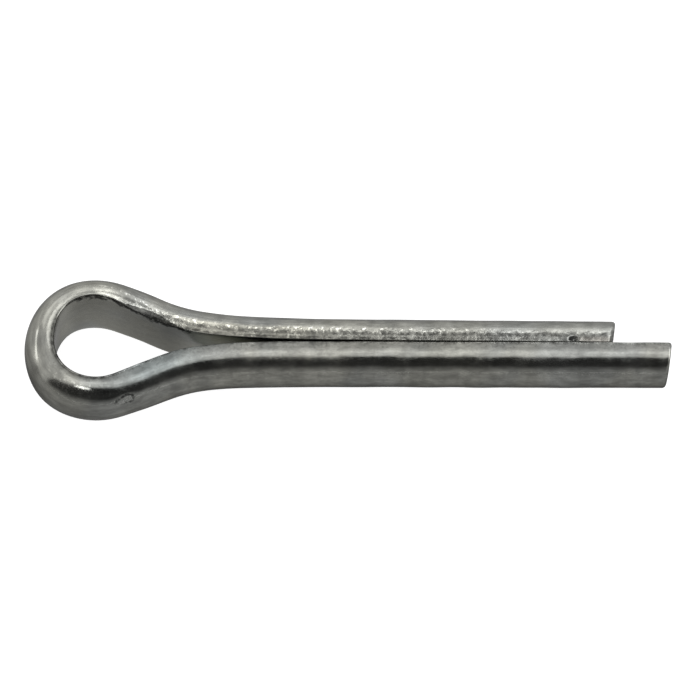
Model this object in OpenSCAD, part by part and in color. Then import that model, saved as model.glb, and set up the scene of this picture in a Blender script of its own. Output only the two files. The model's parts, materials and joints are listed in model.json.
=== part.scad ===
// Extended-prong cotter pin: one length of half-round wire, folded back on itself
// with its flat side inward, so that its two legs together make a round shank.
//
// The pin lies flat. Its eye is in the XY plane, +X runs along the shank's axis from
// the eye to the tips of the legs, and +Z is up. The origin is on that axis in the
// gauge plane, where the neck fills the hole that the pin is made for. The short leg
// is on the +Y side and the long leg on the -Y side. All sizes are in millimetres.

/* [Wire] */
// Radius of the wire's round side, which is also the radius of the closed shank
wire_r = 2.21; // [1.8:0.01:2.6]
// Radius that rounds the two long corners beside the wire's flat side
corner_r = 0.19; // [0.08:0.01:0.3]

/* [Eye] */
// Radius of the inside of the eye
eye_r = 2.78; // [2.4:0.01:3.6]
// Distance from the gauge plane back to the centre of the eye
eye_setback = 8.04; // [7.5:0.01:12]
// Amount by which the wire swells all round in the eye and in the neck's bends
bend_swell = 0.02; // [0.02:0.005:0.06]

/* [Short leg] */
// Distance from the gauge plane to the tip of the short leg
short_length = 26.7; // [15:0.1:60]
// Angle between the shank's axis and the side of the neck above the short leg
short_flank_angle = 25.2; // [20:0.1:32]
// Radius, at the wire's flat side, of the bend between that side and the short leg
short_neck_r = 20; // [8:0.1:24]
// Angle by which the sheared end of the short leg leans back towards its underside
short_shear = 2.6; // [0:0.1:12]

/* [Long leg] */
// Distance by which the long leg reaches past the tip of the short leg
prong_extension = 3.8; // [0.5:0.1:8]
// Angle between the shank's axis and the side of the neck above the long leg
long_flank_angle = 22.4; // [18:0.1:30]
// Radius, at the wire's flat side, of the bend between that side and the long leg
long_neck_r = 22; // [8:0.1:27]
// Angle by which the sheared end of the long leg leans back towards its underside
long_shear = 9.5; // [0:0.1:12]

/* [Fit and edges] */
// Gap between the flat sides of the two legs, at the tip of the short leg
leg_gap = 0.04; // [0.02:0.01:0.4]
// Angle at which each leg closes on the shank's axis towards its tip
leg_taper = 0.08; // [0:0.01:0.4]
// Radius that blunts the lower edge of each sheared end
end_edge_r = 0.25; // [0.1:0.01:0.4]

/* [Hidden] */
$fn = 96;
ZINC_PLATE = [0.4, 0.4, 0.39];

// Amount by which a rounding circle stands proud of what it rounds, to cross it cleanly
PROUD = 0.004;
// Length by which each straight of the wire enters the bend next to it
LAP = 0.05;
// Share of its own radius by which the blunting circle reaches below the wire
EDGE_DIP = 0.2;
// Extra reach of a cutting shape past what it cuts
MARGIN = 1;

long_length = short_length + prong_extension;

// Direction of a line that is at the given angle to the X axis and closes on it
function closing(angle) = [cos(angle), -sin(angle)];

// Point where the inside of the eye runs into a side of the neck, measured in the XY
// plane from the gauge plane, with that side's leg taken as the one at positive Y
function flank_start(flank_angle) =
    [-eye_setback, 0] + eye_r * [sin(flank_angle), cos(flank_angle)];

// Distance from that point, down the side of the neck, to where it would meet the leg
function flank_reach(flank_angle) =
    let (to_leg = flank_start(flank_angle) - [short_length, leg_gap / 2])
    (to_leg.x * sin(leg_taper) + to_leg.y * cos(leg_taper)) / sin(flank_angle - leg_taper);

// Distance from the point where the side of the neck would meet the leg to the leg's tip
function leg_reach(length, flank_angle) =
    let (meeting = flank_start(flank_angle) + flank_reach(flank_angle) * closing(flank_angle))
    (length - meeting.x) / cos(leg_taper);

// Cross-section of the wire, with its flat side on the Y axis and its round side
// towards +X. A swell moves its whole outline outwards.
module wire_section(swell = 0) {
    round_r = wire_r + swell;
    corner_x = corner_r - swell;
    corner_y = sqrt((round_r - corner_r + PROUD) ^ 2 - corner_x ^ 2);
    outside = [corner_x, corner_y] * (wire_r + round_r) / corner_x;

    translate([corner_x, corner_y]) circle(corner_r);
    translate([corner_x, -corner_y]) circle(corner_r);
    intersection() {
        circle(round_r);
        polygon([
            [-swell, -corner_y], [corner_x, -corner_y], [outside.x, -outside.y],
            outside, [corner_x, corner_y], [-swell, corner_y]
        ]);
    }
}

// Straight wire along +X, with its flat side on the XZ plane facing -Y. It enters
// what is behind it and, if it has an end_lap, what is ahead of it.
module straight(length, end_lap = LAP) {
    translate([-LAP, 0, 0]) rotate([90, 0, 90]) linear_extrude(LAP + length + end_lap) wire_section();
    translate([length, 0, 0]) children();
}

// Bend of the wire towards its round side, from a heading of +X. Children start where
// it ends.
module neck_bend(radius, angle) {
    translate([0, radius, 0]) {
        rotate_extrude(start = -90, angle = angle) translate([radius, 0]) mirror([1, 0])
            wire_section(bend_swell);
        rotate(angle) translate([0, -radius, 0]) children();
    }
}

// Side view of the wire that a shear leaves, seen with +X to the right and +Z up. Its
// end leans back from the upper edge, which is at X = length, and its lower edge is blunt.
module sheared_outline(length, shear) {
    function end_x(y) = length - (wire_r - y) * tan(shear);
    inset = end_edge_r - PROUD;
    centre_y = (1 - EDGE_DIP) * end_edge_r - wire_r;
    touch_y = centre_y - inset * sin(shear);
    centre_x = end_x(touch_y) - inset * cos(shear);
    top_y = wire_r + MARGIN;

    translate([centre_x, centre_y]) circle(end_edge_r);
    polygon([
        [-MARGIN, -top_y], [centre_x, -top_y], [centre_x, centre_y],
        [end_x(touch_y), touch_y], [end_x(top_y), top_y], [-MARGIN, top_y]
    ]);
}

// Straight leg along +X with a sheared end
module sheared_leg(length, shear) {
    intersection() {
        straight(length, MARGIN);
        rotate([90, 0, 0]) linear_extrude(4 * wire_r, center = true) sheared_outline(length, shear);
    }
}

// One side of the neck with its leg, from where it leaves the eye, drawn at positive Y.
// The bend between them is limited by the side of the neck that it starts on.
module neck_and_leg(length, flank_angle, neck_r, shear) {
    bend = flank_angle - leg_taper;
    flank = flank_reach(flank_angle);
    bend_r = min(neck_r, (flank - 2 * LAP) / tan(bend / 2));
    bend_reach = bend_r * tan(bend / 2);

    rotate(-flank_angle) translate([0, eye_r, 0])
        straight(flank - bend_reach)
            neck_bend(bend_r, bend)
                sheared_leg(leg_reach(length, flank_angle) - bend_reach, shear);
}

// The eye, around the origin, open towards +X between the two sides of the neck
module eye() {
    rotate_extrude(start = 90 - short_flank_angle, angle = 180 + short_flank_angle + long_flank_angle)
        translate([eye_r, 0]) wire_section(bend_swell);
}

module cotter_pin() {
    color(ZINC_PLATE) translate([-eye_setback, 0, 0]) {
        eye();
        neck_and_leg(short_length, short_flank_angle, short_neck_r, short_shear);
        mirror([0, 1, 0])
            neck_and_leg(long_length, long_flank_angle, long_neck_r, long_shear);
    }
}

cotter_pin();
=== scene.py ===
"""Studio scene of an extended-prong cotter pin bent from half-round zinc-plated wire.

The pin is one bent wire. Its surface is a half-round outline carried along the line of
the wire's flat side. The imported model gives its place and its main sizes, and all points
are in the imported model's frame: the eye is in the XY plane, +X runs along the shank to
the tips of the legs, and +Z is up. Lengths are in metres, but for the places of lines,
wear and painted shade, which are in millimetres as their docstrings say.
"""

import json
import logging
import math
from collections.abc import Sequence
from dataclasses import dataclass
from enum import Enum

import bpy
import numpy as np
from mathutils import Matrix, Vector


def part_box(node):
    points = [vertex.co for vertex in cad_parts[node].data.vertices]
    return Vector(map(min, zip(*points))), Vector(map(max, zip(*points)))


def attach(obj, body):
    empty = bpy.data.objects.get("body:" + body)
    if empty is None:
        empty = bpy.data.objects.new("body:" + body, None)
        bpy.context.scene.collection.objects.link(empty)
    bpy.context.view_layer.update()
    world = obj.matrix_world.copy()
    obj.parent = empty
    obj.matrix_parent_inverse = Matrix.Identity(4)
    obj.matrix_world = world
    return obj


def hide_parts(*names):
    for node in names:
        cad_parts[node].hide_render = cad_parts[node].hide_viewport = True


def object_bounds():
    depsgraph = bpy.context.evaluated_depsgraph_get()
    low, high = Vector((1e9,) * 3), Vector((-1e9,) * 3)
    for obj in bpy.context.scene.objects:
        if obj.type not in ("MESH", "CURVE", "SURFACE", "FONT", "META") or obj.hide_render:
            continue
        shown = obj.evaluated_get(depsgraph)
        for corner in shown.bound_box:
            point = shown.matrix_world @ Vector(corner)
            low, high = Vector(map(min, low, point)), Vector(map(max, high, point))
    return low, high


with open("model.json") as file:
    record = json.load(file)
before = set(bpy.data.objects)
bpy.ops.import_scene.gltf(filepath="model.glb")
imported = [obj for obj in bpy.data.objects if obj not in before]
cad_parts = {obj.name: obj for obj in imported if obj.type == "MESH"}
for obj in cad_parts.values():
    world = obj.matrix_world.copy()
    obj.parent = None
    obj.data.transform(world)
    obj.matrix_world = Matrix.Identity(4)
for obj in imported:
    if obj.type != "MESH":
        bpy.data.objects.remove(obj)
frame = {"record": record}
CAD_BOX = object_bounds()

MM = 0.001
log = logging.getLogger("cotter_pin")

Pair = tuple[float, float]
Triple = tuple[float, float, float]
Colour = tuple[float, float, float, float]
Band = tuple[float, float, float, float]
Socket = bpy.types.NodeSocket


class Side(Enum):
    """The two halves of the wire, as the direction of Y in which each one lies."""

    SHORT = 1.0
    LONG = -1.0


class Axis(Enum):
    """The axes along which a sheet's brightness can change, as numbers of coordinates."""

    ALONG_Y = 1
    UPWARDS = 2


def smooth_step(value: np.ndarray, low: float, high: float) -> np.ndarray:
    """Rise from 0 at low to 1 at high along a cubic with level ends.

    Args:
        value: Where the curve is read.
        low: Where it starts to rise, or has fallen if it is above high.
        high: Where it has risen, or starts to fall.

    Returns:
        The curve's heights, 3t^2 - 2t^3 of the share t of the way from low to high.
    """
    share = np.clip((value - low) / (high - low), 0.0, 1.0)
    return share * share * (3.0 - 2.0 * share)


def band(value: np.ndarray, span: Band) -> np.ndarray:
    """Rise to 1 and fall again along the cubic of smooth_step.

    Args:
        value: Where the curve is read.
        span: Where it starts, is full, is full for the last time and has ended.

    Returns:
        The curve's heights.
    """
    start, full, last, end = span
    return smooth_step(value, start, full) * smooth_step(value, end, last)


def bell(value: np.ndarray, middle: float, width: float) -> np.ndarray:
    """Read a bell curve, the exponential of minus the squared distance in widths."""
    return np.exp(-(((value - middle) / width) ** 2))


@dataclass(frozen=True)
class WireOutline:
    """The half-round outline of the wire, in metres."""

    round_r: float
    corner_r: float
    flat_steps: int = 20
    corner_steps: int = 9
    round_steps: int = 54
    least_corner_r: float = 0.02 * MM

    def points(
        self, inset: np.ndarray, sharper: np.ndarray | float = 0.0
    ) -> tuple[np.ndarray, np.ndarray]:
        """Work out the outline, moved inwards by an inset.

        The outline is a half disc whose two corners are rounded. It starts at the lower
        end of the flat, goes up the flat, round the upper corner on an arc, round the
        back on a large arc, and round the lower corner on an arc. The small arcs' middles
        lie where a circle of the corner's radius touches both the flat and the large arc.

        Args:
            inset: Distance inwards for each row, as an array of any length.
            sharper: Distance by which each row's corners are sharper than in the eye.

        Returns:
            Distance out from the flat and height, each an array of rows by columns.
        """
        inset = np.asarray(inset, float)[:, None]
        sharper = np.broadcast_to(sharper, inset.shape[:1])[:, None]
        corner = np.maximum(self.corner_r - sharper - inset, self.least_corner_r)
        large = self.round_r - inset
        middle_out = inset + corner
        middle_up = np.sqrt((large - corner) ** 2 - middle_out**2)
        meeting = np.arctan2(middle_up, middle_out)

        flat = np.linspace(-1.0, 1.0, self.flat_steps, endpoint=False)[None, :]
        turn = np.linspace(0.0, 1.0, self.corner_steps, endpoint=False)[None, :]
        back = np.linspace(1.0, -1.0, self.round_steps, endpoint=False)[None, :]
        upper = math.pi + (meeting - math.pi) * turn
        lower = -meeting + (meeting - math.pi) * turn
        out = [
            inset + 0.0 * flat,
            middle_out + corner * np.cos(upper),
            large * np.cos(meeting * back),
            middle_out + corner * np.cos(lower),
        ]
        up = [
            middle_up * flat,
            middle_up + corner * np.sin(upper),
            large * np.sin(meeting * back),
            -middle_up + corner * np.sin(lower),
        ]
        return np.concatenate(out, axis=1), np.concatenate(up, axis=1)

    def lengths_round(self) -> np.ndarray:
        """Measure round the outline from its first column.

        Returns:
            Distance of each column, with the whole way round as the last value.
        """
        out, up = self.points(np.zeros(1))
        steps = np.hypot(
            np.diff(out[0], append=out[0, 0]), np.diff(up[0], append=up[0, 0])
        )
        return np.concatenate([[0.0], np.cumsum(steps)])

    def past_corner(self) -> np.ndarray:
        """Measure round the outline from the middle of the upper corner.

        Returns:
            Distances as one row, positive on the round back.
        """
        lengths = self.lengths_round()
        corner = self.flat_steps + self.corner_steps // 2
        return (lengths[:-1] - lengths[corner])[None, :]

    def from_outermost(self) -> np.ndarray:
        """Measure round the outline from the middle of the round back.

        Returns:
            Distances as one row, positive towards the upper corner.
        """
        lengths = self.lengths_round()
        start = self.flat_steps + self.corner_steps
        outermost = lengths[start] + 0.5 * (
            lengths[start + self.round_steps] - lengths[start]
        )
        return (outermost - lengths[:-1])[None, :]


@dataclass(frozen=True)
class HalfWire:
    """One half of the pin, from the crown of the eye to the tip of its leg.

    The splay is the angle at which the leg closes in towards its tip, and the gap is how
    far its flat side then stands from the middle plane. The fullness is how much deeper
    than the outline the wire is at the tip, and the thickening is how much more of that
    it gains for each unit of length away from there.
    """

    side: Side
    flank_angle: float
    neck_r: float
    easing: float
    splay: float
    fullness: float
    thickening: float
    tip_x: float
    tip_gap: float
    shear: float
    end_skew: float
    end_edge_r: float
    most_eased: float = 0.8
    longest_leg: float = 60.0 * MM
    leg_step: float = 0.02 * MM

    def neck(self, eye: "Eye") -> tuple[float, np.ndarray, np.ndarray]:
        """Work out the straight side of the neck, and the heading through bend and leg.

        The bend turns evenly until the angle that is left equals the easing length over
        the bend's radius, and then that angle dies away exponentially over the easing
        length. The straight side is as long as it takes for the tip to end on its gap.

        Args:
            eye: The eye that this half belongs to.

        Returns:
            Length of the straight side, and distances from its end with their headings.
        """
        turn = self.flank_angle - self.splay
        left = min(self.easing / self.neck_r, self.most_eased * turn)
        bend = self.neck_r * (turn - left)
        along = np.arange(0.0, self.longest_leg, self.leg_step)
        eased = left * np.exp(-np.maximum(along - bend, 0.0) / self.easing)
        turning = np.minimum(along / self.neck_r, turn - left) - self.flank_angle
        turning = np.where(along > bend, -self.splay - eased, turning)
        x = np.concatenate([[0.0], np.cumsum(np.cos(turning[:-1]))]) * along[1]
        y = np.concatenate([[0.0], np.cumsum(np.sin(turning[:-1]))]) * along[1]
        start_x = eye.centre_x + eye.inner_r * math.sin(self.flank_angle)
        start_y = eye.centre_y * self.side.value
        start_y += eye.inner_r * math.cos(self.flank_angle)
        reach = (self.tip_x - start_x - x) / math.cos(self.flank_angle)
        tip_y = start_y - reach * math.sin(self.flank_angle) + y
        leg = float(np.interp(self.tip_gap, tip_y, along))
        kept = along < leg
        return (
            float(np.interp(leg, along, reach)),
            np.append(along[kept], leg),
            np.append(turning[kept], -self.splay),
        )

    def spine(self, eye: "Eye", spacing: float) -> tuple[np.ndarray, ...]:
        """Work out the line of the flat side from the crown to the tip.

        The heading turns evenly round the eye, holds along the side of the neck, turns
        back through the neck's bend and eases into the leg. It is then averaged over a
        short bell-shaped window, as real bends blend into straights, and summed along
        the line to give the points.

        Args:
            eye: The eye that this half belongs to.
            spacing: Greatest distance between points.

        Returns:
            Distance from the crown, X, Y, the two parts of the outward normal and the
            wire's roll, with Y taken as positive on this half's own side.
        """
        round_eye = eye.inner_r * (math.pi / 2 + self.flank_angle)
        reach, neck, turning = self.neck(eye)
        knots = np.concatenate([[0.0, round_eye], round_eye + reach + neck])
        at_knots = np.concatenate([[math.pi / 2, -self.flank_angle], turning])
        fine = eye.blend / eye.blend_steps
        half_window = eye.blend_reach * eye.blend_steps
        margin = (eye.blend_reach + 1) * eye.blend
        along = np.arange(-margin, knots[-1] + margin, fine)
        heading = np.interp(along, knots, at_knots)
        heading = np.where(along < 0.0, math.pi / 2 - along / eye.inner_r, heading)
        offsets = np.arange(-half_window, half_window + 1) * fine / eye.blend
        window = np.exp(-0.5 * offsets**2)
        heading = np.convolve(
            np.pad(heading, half_window, mode="edge"), window / window.sum(), mode="valid"
        )
        x = np.concatenate([[0.0], np.cumsum(np.cos(heading[:-1]))]) * fine
        y = np.concatenate([[0.0], np.cumsum(np.sin(heading[:-1]))]) * fine
        x += eye.centre_x - eye.inner_r - np.interp(0.0, along, x)
        y -= np.interp(0.0, along, y)

        count = int(math.ceil(knots[-1] / spacing)) + 1
        distance = np.linspace(0.0, knots[-1], count)
        toward = np.interp(distance, along, heading)
        normal_x, normal_y = -np.sin(toward), np.cos(toward)
        x, y = np.interp(distance, along, x), np.interp(distance, along, y)
        y = y + eye.centre_y * self.side.value
        angle = self.side.value * np.arctan2(y, x - eye.centre_x)
        bulge = eye.bulge(angle, distance)
        x, y = x + bulge * normal_x, y + bulge * normal_y
        return distance, x, y, normal_x, normal_y, eye.roll(angle)


@dataclass(frozen=True)
class Eye:
    """The eye of the pin, with the small ways in which it isn't a true circle.

    The folds are shares of its radius that go with the cosine and the sine, the thinning
    and the widening are shares of the wire's depth and width, and the lean is an angle
    with the parts that go with the cosine and the sine. The fade tells where the folds
    have died away and where they start to, in quarter turns from the crown.
    """

    centre_x: float
    centre_y: float
    inner_r: float
    blend: float = 0.35 * MM
    blend_steps: int = 20
    blend_reach: int = 3
    thinning: float = 0.0905
    widening: float = 0.1326
    worked_past: float = 2.5 * MM
    worked_before: float = 2.0 * MM
    two_fold: Pair = (-0.0035, -0.0085)
    three_fold: Pair = (0.0258, -0.0121)
    four_fold: Pair = (0.0002, -0.0008)
    bulge_fade: Pair = (1.3, 0.1)
    lean: Triple = (0.0496, 0.0389, 0.0044)

    def weight(self, distance: np.ndarray, half: HalfWire) -> np.ndarray:
        """Tell how much bending has changed the outline at a distance from the crown."""
        end = self.inner_r * (math.pi / 2 + half.flank_angle)
        return smooth_step(distance, end + self.worked_past, end - self.worked_before)

    def bulge(self, angle: np.ndarray, distance: np.ndarray) -> np.ndarray:
        """Work out how far the eye stands out from a true circle.

        It is the sum of a two-fold, a three-fold and a four-fold wave of the angle about
        the eye's middle, which fades out on the way from the crown to the neck.

        Args:
            angle: Angle of the points about the eye's middle.
            distance: Distance of the points from the crown.

        Returns:
            Distance outwards at each point.
        """
        folds = (self.two_fold, self.three_fold, self.four_fold)
        shape = sum(
            even * np.cos(count * angle) + odd * np.sin(count * angle)
            for count, (even, odd) in enumerate(folds, start=2)
        )
        quarter = self.inner_r * math.pi / 2
        end, start = (share * quarter for share in self.bulge_fade)
        return self.inner_r * shape * smooth_step(distance, end, start)

    def roll(self, angle: np.ndarray) -> np.ndarray:
        """Tell how far bending has rolled the wire's top outwards, at each angle."""
        even, along, across = self.lean
        return even + along * np.cos(angle) + across * np.sin(angle)


@dataclass(frozen=True)
class Mark:
    """A dent or a rise in the wire, at a distance along it and a distance round it.

    The length and the width are half sizes, and a negative depth makes it a rise. The rim
    is how strong its raised ring is, and the smudge is how dark the ring is. The ring's
    place and width are shares of the half sizes.
    """

    side: Side
    along: float
    around: float
    length: float
    width: float
    depth: float
    rim: float = 0.0
    smudge: float = 0.0
    ring_place: float = 0.8
    ring_width: float = 0.4

    def spread(self, along: np.ndarray, around: np.ndarray) -> np.ndarray:
        """Work out the squared distance from the mark's middle in half sizes.

        Args:
            along: Signed distance of each point along the wire from the crown.
            around: Distance of each point round the wire from its outermost line.

        Returns:
            Squared distance at each point.
        """
        far = ((along - self.side.value * self.along) / self.length) ** 2
        return far + ((around - self.around) / self.width) ** 2

    def relief(self, along: np.ndarray, around: np.ndarray) -> np.ndarray:
        """Work out the mark's height over the surface.

        It is a bell round the mark's middle, sunk by the depth, with a raised ring round
        it where there is a rim.

        Args:
            along: Signed distance of each point along the wire from the crown.
            around: Distance of each point round the wire from its outermost line.

        Returns:
            Height outwards at each point.
        """
        far = self.spread(along, around)
        return self.depth * (self.rim * far - 1.0) * np.exp(-far)

    def shade(self, along: np.ndarray, around: np.ndarray) -> np.ndarray:
        """Tell how dark the ring round the mark is, as a bell across the ring."""
        far = np.sqrt(self.spread(along, around))
        return self.smudge * bell(far, self.ring_place, self.ring_width)


@dataclass(frozen=True)
class Waver:
    """The low waver that drawing and bending leave in the wire's surface.

    The pitches are the slowest and the fastest wave's, in radians per millimetre.
    """

    height: float = 0.004 * MM
    waves: int = 36
    crest_counts: int = 7
    pitches: Pair = (0.35, 2.4)
    evenness: float = 0.6
    seed: int = 11

    def relief(self, along: np.ndarray, around: np.ndarray, whole: float) -> np.ndarray:
        """Work out the waver's height over the surface.

        It is a sum of sine waves with a whole number of crests round the wire, each with
        its own seeded pitch along it and phase. The finer a wave is, the lower it is.

        Args:
            along: Signed distance of each row along the wire from the crown.
            around: Distance of each column round the wire.
            whole: The whole way round the wire.

        Returns:
            Height outwards, as rows by columns.
        """
        rng = np.random.default_rng(self.seed)
        crests = rng.integers(0, self.crest_counts, self.waves)
        pitch = rng.uniform(*self.pitches, self.waves) / MM
        phase = rng.uniform(0.0, 2 * math.pi, self.waves)
        strength = 1.0 / (self.evenness + np.hypot(crests, pitch * MM))
        angle = (
            along[..., None] * pitch
            + around[..., None] * (crests * 2 * math.pi / whole)
            + phase
        )
        return (np.sin(angle) * strength).sum(-1) * self.height


@dataclass(frozen=True)
class Places:
    """Where the points of the wire's surface lie, in millimetres.

    Along is each row's signed distance from the crown, which is positive in the short
    half. Past is each column's distance round the wire past the middle of the upper
    corner, which is positive on the round back. Climb is its distance from the foot of
    the flat.
    """

    along: np.ndarray
    past: np.ndarray
    climb: np.ndarray

    @property
    def tip(self) -> float:
        """Distance of the short half's tip from the crown."""
        return self.along.max()


@dataclass(frozen=True)
class Line:
    """A soft line along the wire, with its places in millimetres."""

    level: float
    start: float
    full: float
    past: float
    width: float

    def strength(self, at: Places) -> np.ndarray:
        """Read the line's strength, a step along the wire times a bell round it."""
        rise = self.level * smooth_step(at.along, self.start, self.full)
        return rise * bell(at.past, self.past, self.width)


@dataclass(frozen=True)
class WearAndShade:
    """Where drawing, bending and handling have marked the plating, and where shade is
    painted on it, in millimetres.

    Fields named "along", "past" and "foot" are places on the distances that Places has.
    A pair is where a mask starts and is full, unless its name says that it is a bell,
    with a middle and a width. The levels are strengths.
    """

    strip_past: Band = (0.05, 0.15, 0.9, 1.25)
    strip_along: Pair = (6.0, 10.0)
    strip_at_tip: float = 0.45
    before_tip: Pair = (4.0, 12.0)
    streak_bell_along: Pair = (12.3, 1.5)
    streak_smooth: float = 0.8
    flank_along: Pair = (8.0, 4.5)
    flank_past: Pair = (0.75, 0.5)
    flank_level: float = 0.35

    glint_bell_along: Pair = (-3.6, 1.3)
    glint_bell_past: Pair = (1.1, 0.4)
    glint_rough: float = 0.3
    glint_spark: float = 0.6

    # Dull lines: a band in the rough strip, and a band at the seam between the legs that
    # is partly dirt and partly painted shade.
    dull_past: Band = (0.42, 0.5, 0.8, 1.0)
    dull_along: Pair = (4.0, 9.0)
    seam_past: Band = (0.1, 0.2, 0.34, 0.42)
    seam_level: float = 1.4
    seam_drop: float = 0.5
    seam_drop_along: Pair = (22.0, 32.0)
    # Painted shade that dims the highlight towards the short half's tip.
    tip_shade_past: Band = (0.3, 0.45, 0.8, 0.95)
    tip_shade_along: Pair = (20.0, 33.0)
    tip_shade_level: float = 0.5
    # Painted shade along the long half's upper corner.
    near_corner_shade: Line = Line(level=1.3, start=2.5, full=0.5, past=0.12, width=0.2)
    dull_and_shade_limit: float = 1.2

    spark_past: Band = (0.5, 0.7, 1.0, 1.2)
    spark_along: Pair = (3.0, 7.0)
    spark_at_tip: float = 0.2

    warm_along: Band = (8.0, 11.0, 16.0, 22.0)
    calm_past: Pair = (-0.1, -0.4)

    # Painted shade on the flat side inside the eye, lighter at the crown and in the neck.
    flat_foot: Pair = (0.0, 0.2)
    flat_past: Pair = (-0.15, -0.6)
    inner_along: Band = (-6.0, -3.0, 15.0, 19.0)
    crown_light: float = 2.6
    crown_along: Pair = (3.5, 1.0)
    neck_light: float = 5.0
    neck_along: Pair = (9.5, 13.0)
    shadows: tuple[Line, ...] = (
        Line(level=1.7, start=14.0, full=18.0, past=0.25, width=0.2),
        Line(level=1.9, start=2.5, full=0.5, past=0.15, width=0.08),
        Line(level=0.45, start=18.0, full=22.0, past=0.95, width=0.13),
        Line(level=0.4, start=26.0, full=32.0, past=0.95, width=0.13),
    )

    # Painted shade, with some dirt, on the inner side of the short half's corner.
    corner_shade_past: Pair = (-0.9, -0.2)
    corner_shade_along: Band = (1.0, 4.5, 10.0, 15.0)
    crest_level: float = 0.02
    crest_rise: float = 0.62
    crest_bell_along: Pair = (8.4, 2.1)
    crest_edge: Pair = (0.04, -0.06)
    lip_level: float = 0.74
    lip_rise: float = 0.41
    lip_past: Pair = (-0.05, 0.1)

    stain_level: float = 0.85
    stain_along: Pair = (36.9, 37.8)
    stain_before_tip: Pair = (-0.2, 0.5)
    stain_past: Band = (0.02, 0.1, 0.4, 0.62)

    cool_bell_along: Pair = (-8.5, 3.2)
    cool_past: Pair = (1.8, 1.0)

    def masks(self, at: Places) -> dict[str, np.ndarray]:
        """Work out every mask of the wire's surface.

        Args:
            at: Places of the surface's points.

        Returns:
            Each mask's values by its name, as rows by columns.
        """
        glint = bell(at.along, *self.glint_bell_along)
        glint = glint * bell(at.past, *self.glint_bell_past)
        warm = band(at.past, self.strip_past) * band(at.along, self.warm_along)
        cool = bell(at.along, *self.cool_bell_along)
        cool = cool * smooth_step(at.past, *self.cool_past)
        return {
            "strip": self.rough(at) + self.glint_rough * glint,
            "dull_lines_and_shade": self.dull_lines_and_shade(at),
            "spark": self.spark(at) + self.glint_spark * glint,
            "warm": warm,
            "calm": smooth_step(at.past, *self.calm_past) * np.ones_like(at.along),
            "inner": self.inner(at),
            "corner_shade_and_dirt": self.corner_shade_and_dirt(at),
            "stain": self.stain(at),
            "cool": cool,
        }

    def weaker_at_tip(self, at: Places, level: float) -> np.ndarray:
        """Fall from 1 to a level along a smooth step before the short half's tip."""
        near, clear = (at.tip - length for length in self.before_tip)
        return level + (1.0 - level) * smooth_step(at.along, near, clear)

    def rough(self, at: Places) -> np.ndarray:
        """Work out the rough strip beside the short half's upper corner.

        It is a band round the wire that starts on the flank, with a smoother streak where
        the neck bends, and gets weaker at the tip. A weaker and narrower strip lies
        before it, round the eye and along the other half.

        Args:
            at: Places of the surface's points.

        Returns:
            Strength, as rows by columns.
        """
        far = smooth_step(at.along, *self.strip_along)
        far = far * self.weaker_at_tip(at, self.strip_at_tip)
        far = far * (1.0 - self.streak_smooth * bell(at.along, *self.streak_bell_along))
        near = self.flank_level * smooth_step(at.along, *self.flank_along)
        near = near * smooth_step(at.past, *self.flank_past)
        return band(at.past, self.strip_past) * (far + near)

    def dull_lines_and_shade(self, at: Places) -> np.ndarray:
        """Work out the dull lines and the painted shade among them.

        The short half has one dull band in its rough strip and a stronger one at the seam
        between the legs, partly dirt and partly painted shade, which drops towards the tip
        where a wider band of painted shade joins it and dims the highlight there. The long
        half has a soft line of painted shade along its upper corner.

        Args:
            at: Places of the surface's points.

        Returns:
            Strength, as rows by columns.
        """
        drop = self.seam_drop * smooth_step(at.along, *self.seam_drop_along)
        lines = band(at.past, self.dull_past)
        lines = lines + (self.seam_level - drop) * band(at.past, self.seam_past)
        darkening = self.tip_shade_level * smooth_step(at.along, *self.tip_shade_along)
        whole = (
            smooth_step(at.along, *self.dull_along) * lines
            + darkening * band(at.past, self.tip_shade_past)
            + self.near_corner_shade.strength(at)
        )
        return np.minimum(whole, self.dull_and_shade_limit)

    def spark(self, at: Places) -> np.ndarray:
        """Work out the sparks, a band on the short half that gets weaker at its tip.

        Args:
            at: Places of the surface's points.

        Returns:
            Strength, as rows by columns.
        """
        reach = smooth_step(at.along, *self.spark_along)
        reach = reach * self.weaker_at_tip(at, self.spark_at_tip)
        return reach * band(at.past, self.spark_past)

    def inner(self, at: Places) -> np.ndarray:
        """Work out the painted shade inside the eye, and the legs' painted shadow lines.

        The flat side is dark all over the eye's inside, but for the lighter stretches at
        the crown and in the neck. The shadow lines lie beside the seam and on the ridge.

        Args:
            at: Places of the surface's points.

        Returns:
            Strength, as rows by columns, below 0 where the surface is lighter.
        """
        flat = smooth_step(at.climb, *self.flat_foot)
        flat = flat * smooth_step(at.past, *self.flat_past)
        crown = self.crown_light * smooth_step(at.along, *self.crown_along)
        neck = self.neck_light * smooth_step(at.along, *self.neck_along)
        inside = flat * (1.0 - crown - neck) * band(at.along, self.inner_along)
        return inside + sum(line.strength(at) for line in self.shadows)

    def corner_shade_and_dirt(self, at: Places) -> np.ndarray:
        """Work out the painted shade and dirt on the inner side of the short half's
        corner.

        It reaches up to a crest that swells as a bell along the wire, and is darker on
        its lip.

        Args:
            at: Places of the surface's points.

        Returns:
            Strength, as rows by columns.
        """
        crest = self.crest_rise * bell(at.along, *self.crest_bell_along)
        crest = self.crest_level + crest
        lip = self.lip_level + self.lip_rise * smooth_step(at.past, *self.lip_past)
        reach = smooth_step(at.past, *self.corner_shade_past)
        reach = reach * smooth_step(at.past - crest, *self.crest_edge)
        return band(at.along, self.corner_shade_along) * reach * lip

    def stain(self, at: Places) -> np.ndarray:
        """Work out the stain between the pit and the tip, a band both along and round.

        Args:
            at: Places of the surface's points.

        Returns:
            Strength, as rows by columns.
        """
        end, last = (at.tip - length for length in self.stain_before_tip)
        reach = band(at.along, (*self.stain_along, last, end))
        return self.stain_level * reach * band(at.past, self.stain_past)


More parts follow.
